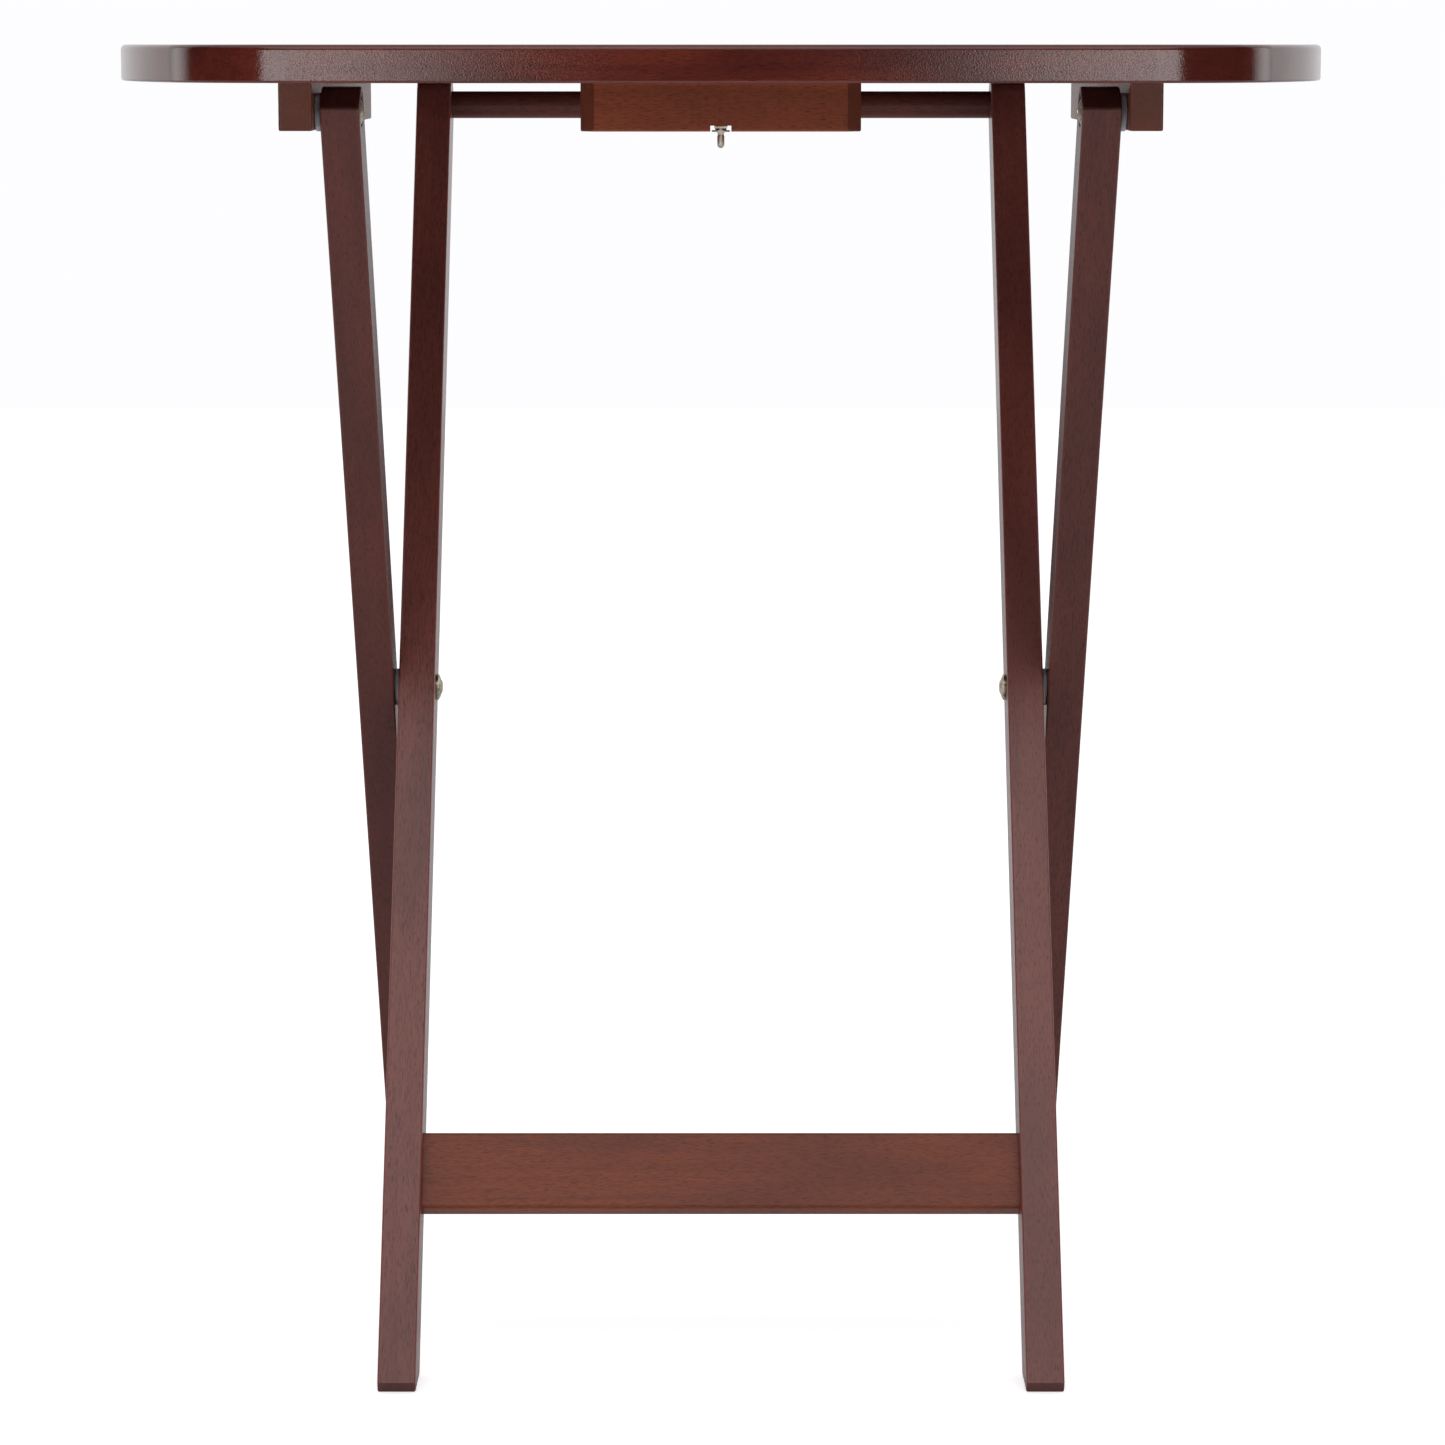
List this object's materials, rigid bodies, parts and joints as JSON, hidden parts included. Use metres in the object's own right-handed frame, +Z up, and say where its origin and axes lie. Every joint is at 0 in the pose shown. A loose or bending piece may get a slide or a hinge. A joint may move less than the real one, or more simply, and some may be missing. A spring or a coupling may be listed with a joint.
{
  "type": "folding tray table",
  "caption": "Folding tray table: a rectangular board with bowed edges and round corners on crossed scissor legs, with a lower rail, side battens and a slide latch.",
  "frame": {"origin": "on the floor, under the middle of the table top, with the table open", "axes": "+Z up; -Y towards the user, the side with the latch; +X to the user's right"},
  "size_m": [0.6168, 0.4878, 0.66],
  "materials": {
    "top_wood": "red-brown stained hardwood under satin lacquer",
    "leg_wood": "red-brown stained hardwood, fine open pores, thin satin lacquer",
    "frame_wood": "red-brown stained hardwood, thin satin lacquer",
    "pin_wood": "unstained hardwood dowel pin",
    "spacer_plastic": "dark grey nylon",
    "pivot_brass": "antique nickel-brass plate",
    "screw_steel": "zinc plated",
    "latch_steel": "nickel plated"
  },
  "bodies": {
    "inner_frame": {"inner_leg_left": "leg_wood", "inner_leg_right": "leg_wood", "top_dowel": "frame_wood", "lower_rail": "frame_wood", "rail_dowel_pins": "pin_wood", "cross_bolt_left": "pivot_brass", "cross_bolt_right": "pivot_brass", "cross_nut_left": "pivot_brass", "cross_nut_right": "pivot_brass", "cross_spacer_left": "spacer_plastic", "cross_spacer_right": "spacer_plastic"},
    "outer_frame": {"outer_leg_left": "leg_wood", "outer_leg_right": "leg_wood", "top_bolt_left": "pivot_brass", "top_bolt_right": "pivot_brass", "top_nut_left": "pivot_brass", "top_nut_right": "pivot_brass", "top_spacer_left": "spacer_plastic", "top_spacer_right": "spacer_plastic"},
    "table_top": {"tabletop": "top_wood", "batten_left": "frame_wood", "batten_right": "frame_wood", "latch_block": "frame_wood", "catch_block": "frame_wood", "batten_screws": "screw_steel", "latch_block_screws": "screw_steel", "catch_block_screws": "screw_steel", "latch_guide_screw": "screw_steel"},
    "latch": {"latch_slide": "latch_steel", "latch_pin": "latch_steel", "latch_washer": "latch_steel"}
  },
  "joints": [
    {"name": "leg_fold", "type": "hinge", "parent": "inner_frame", "child": "outer_frame", "pos_m": [0, 0, 0.32259], "axis": [-1, 0, 0], "range_deg": [0, 64]},
    {"name": "top_follow", "type": "hinge", "parent": "outer_frame", "child": "table_top", "pos_m": [0, -0.1908, 0.6279], "axis": [1, 0, 0], "range_deg": [0, 32]},
    {"name": "latch_pull", "type": "slide", "parent": "table_top", "child": "latch", "axis": [0, -1, 0], "range_m": [0, 0.012]}
  ],
  "couplings": [
    {"joint": "top_follow", "follows": "leg_fold", "ratio": 0.5}
  ]
}
